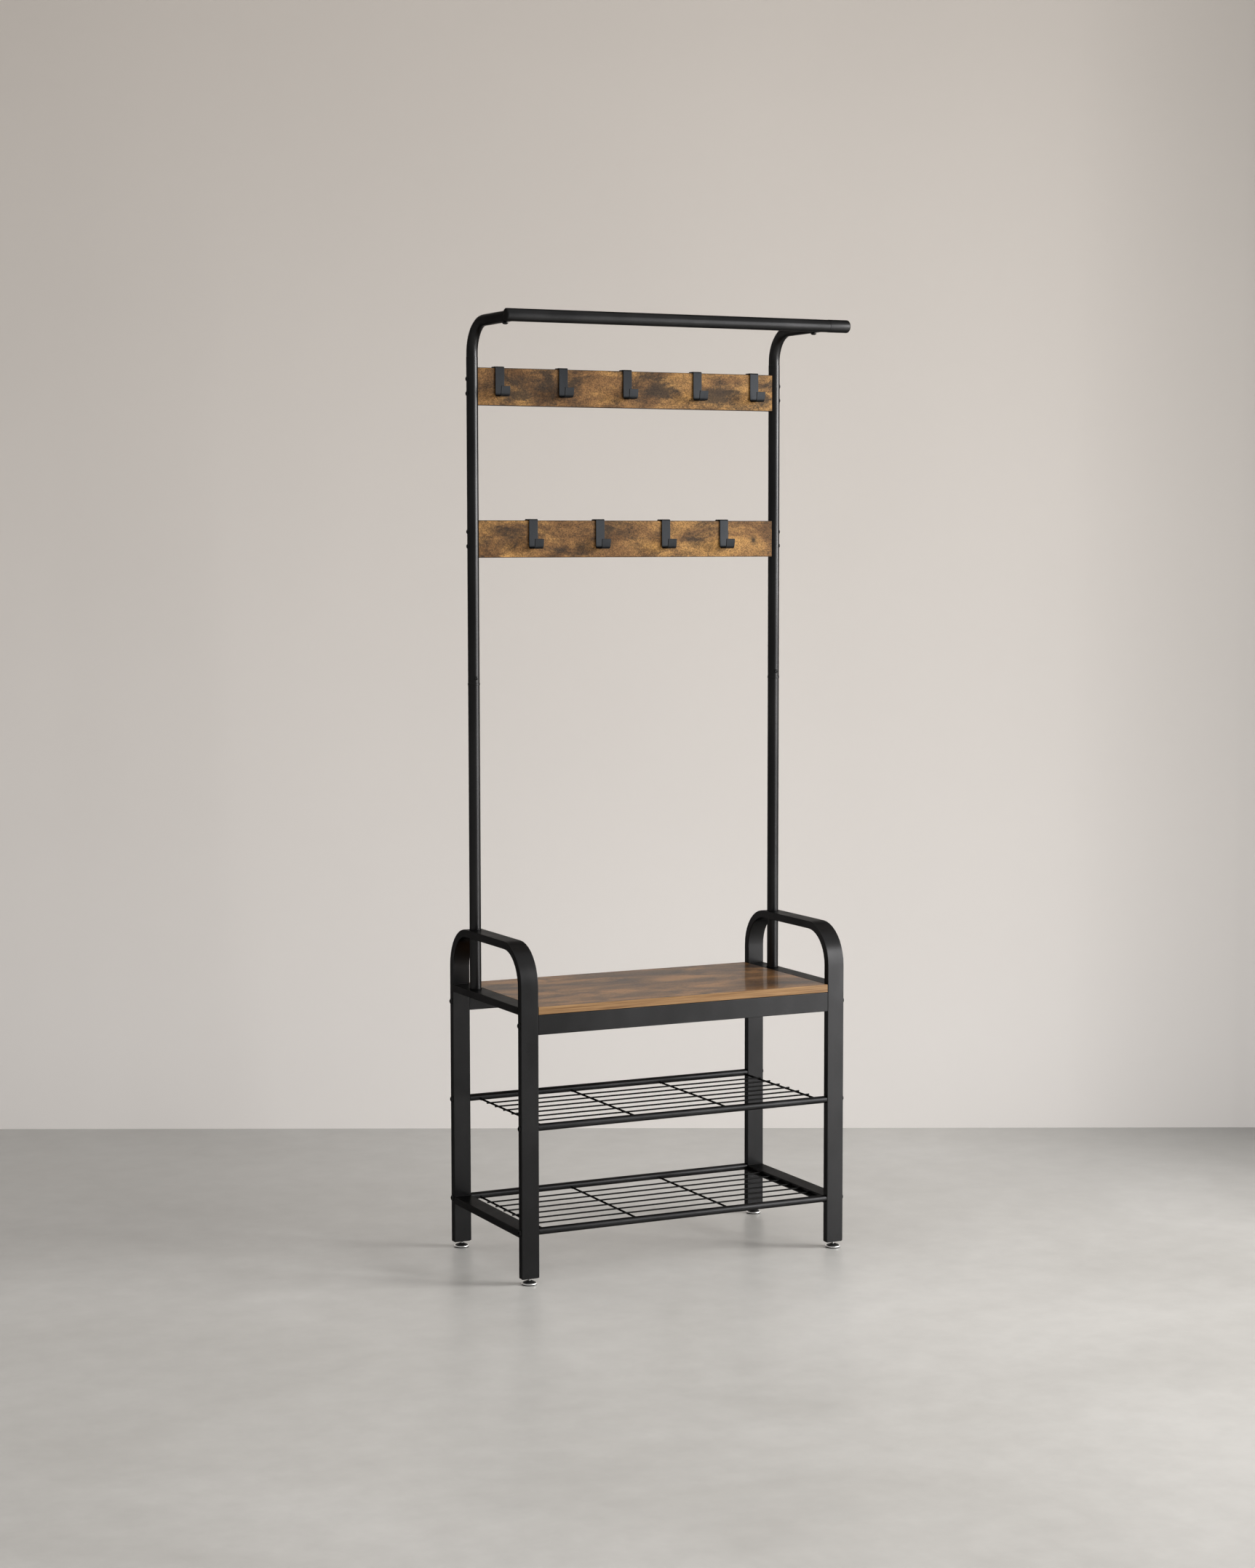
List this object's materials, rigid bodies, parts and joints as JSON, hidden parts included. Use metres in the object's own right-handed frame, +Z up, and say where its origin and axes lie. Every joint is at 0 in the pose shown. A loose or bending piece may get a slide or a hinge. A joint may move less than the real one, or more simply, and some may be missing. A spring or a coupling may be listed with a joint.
{
  "type": "hall tree",
  "caption": "Metal hall tree: bench seat over wire shoe shelves, posts with hook boards, sliding strap hooks and a hanging rod.",
  "frame": {"origin": "on the floor, under the middle of the bounding box", "axes": "+X to the right of someone facing the seat, +Y towards the back, +Z up"},
  "size_m": [0.7452, 0.36, 1.83],
  "materials": {
    "black_steel": "satin black powder coat",
    "hook_steel": "satin charcoal powder coat",
    "board": "rustic brown wood-grain laminate, matt",
    "seat": "rustic brown wood-grain laminate, satin, tan edge band",
    "bolt": "black domed bolt",
    "black_plastic": "black moulded plastic",
    "foot": "bright rim and stud, black sole and nut"
  },
  "bodies": {
    "stand": {"front_seat_rail": "black_steel", "hanging_rod": "black_steel", "leg_bolt_front_left_high": "bolt", "leg_bolt_front_left_low": "bolt", "leg_bolt_front_left_middle": "bolt", "leg_bolt_front_right_high": "bolt", "leg_bolt_front_right_low": "bolt", "leg_bolt_front_right_middle": "bolt", "leg_bolt_rear_left_high": "bolt", "leg_bolt_rear_left_low": "bolt", "leg_bolt_rear_left_middle": "bolt", "leg_bolt_rear_right_high": "bolt", "leg_bolt_rear_right_low": "bolt", "leg_bolt_rear_right_middle": "bolt", "leg_insert_front_left": "black_plastic", "leg_insert_front_right": "black_plastic", "leg_insert_rear_left": "black_plastic", "leg_insert_rear_right": "black_plastic", "lower_hook_board": "board", "lower_post_left": "black_steel", "lower_post_right": "black_steel", "lower_shelf_front_tube": "black_steel", "lower_shelf_rear_tube": "black_steel", "lower_shelf_wires": "black_steel", "lower_side_rail_left": "black_steel", "lower_side_rail_right": "black_steel", "post_screw_left": "bolt", "post_screw_right": "bolt", "rear_seat_rail": "black_steel", "rod_bolt_left": "bolt", "rod_bolt_right": "bolt", "rod_cap_left": "black_plastic", "rod_cap_right": "black_plastic", "seat_board": "seat", "seat_side_rail_left": "black_steel", "seat_side_rail_right": "black_steel", "side_frame_left": "black_steel", "side_frame_right": "black_steel", "top_bend_left": "black_steel", "top_bend_right": "black_steel", "upper_hook_board": "board", "upper_post_left": "black_steel", "upper_post_right": "black_steel", "upper_shelf_front_tube": "black_steel", "upper_shelf_rear_tube": "black_steel", "upper_shelf_wires": "black_steel"},
    "levelling_foot_front_left": {"levelling_foot_front_left": "foot"},
    "levelling_foot_front_right": {"levelling_foot_front_right": "foot"},
    "levelling_foot_rear_left": {"levelling_foot_rear_left": "foot"},
    "levelling_foot_rear_right": {"levelling_foot_rear_right": "foot"},
    "lower_hook_1": {"lower_hook_1": "hook_steel"},
    "lower_hook_2": {"lower_hook_2": "hook_steel"},
    "lower_hook_3": {"lower_hook_3": "hook_steel"},
    "lower_hook_4": {"lower_hook_4": "hook_steel"},
    "upper_hook_1": {"upper_hook_1": "hook_steel"},
    "upper_hook_2": {"upper_hook_2": "hook_steel"},
    "upper_hook_3": {"upper_hook_3": "hook_steel"},
    "upper_hook_4": {"upper_hook_4": "hook_steel"},
    "upper_hook_5": {"upper_hook_5": "hook_steel"}
  },
  "joints": [
    {"name": "upper_hook_1_slide", "type": "slide", "parent": "stand", "child": "upper_hook_1", "axis": [1, 0, 0], "range_m": [-0.0319, 0.057]},
    {"name": "upper_hook_2_slide", "type": "slide", "parent": "stand", "child": "upper_hook_2", "axis": [1, 0, 0], "range_m": [-0.057, 0.059]},
    {"name": "upper_hook_3_slide", "type": "slide", "parent": "stand", "child": "upper_hook_3", "axis": [1, 0, 0], "range_m": [-0.059, 0.067]},
    {"name": "upper_hook_4_slide", "type": "slide", "parent": "stand", "child": "upper_hook_4", "axis": [1, 0, 0], "range_m": [-0.067, 0.0538]},
    {"name": "upper_hook_5_slide", "type": "slide", "parent": "stand", "child": "upper_hook_5", "axis": [1, 0, 0], "range_m": [-0.0538, 0.0294]},
    {"name": "lower_hook_1_slide", "type": "slide", "parent": "stand", "child": "lower_hook_1", "axis": [1, 0, 0], "range_m": [-0.1015, 0.0615]},
    {"name": "lower_hook_2_slide", "type": "slide", "parent": "stand", "child": "lower_hook_2", "axis": [1, 0, 0], "range_m": [-0.0615, 0.062]},
    {"name": "lower_hook_3_slide", "type": "slide", "parent": "stand", "child": "lower_hook_3", "axis": [1, 0, 0], "range_m": [-0.062, 0.0548]},
    {"name": "lower_hook_4_slide", "type": "slide", "parent": "stand", "child": "lower_hook_4", "axis": [1, 0, 0], "range_m": [-0.0548, 0.0975]},
    {"name": "levelling_foot_front_left_screw", "type": "slide", "parent": "stand", "child": "levelling_foot_front_left", "axis": [0, 0, -1], "range_m": [-0.0015, 0.012]},
    {"name": "levelling_foot_front_right_screw", "type": "slide", "parent": "stand", "child": "levelling_foot_front_right", "axis": [0, 0, -1], "range_m": [-0.0015, 0.012]},
    {"name": "levelling_foot_rear_left_screw", "type": "slide", "parent": "stand", "child": "levelling_foot_rear_left", "axis": [0, 0, -1], "range_m": [-0.0015, 0.012]},
    {"name": "levelling_foot_rear_right_screw", "type": "slide", "parent": "stand", "child": "levelling_foot_rear_right", "axis": [0, 0, -1], "range_m": [-0.0015, 0.012]}
  ]
}
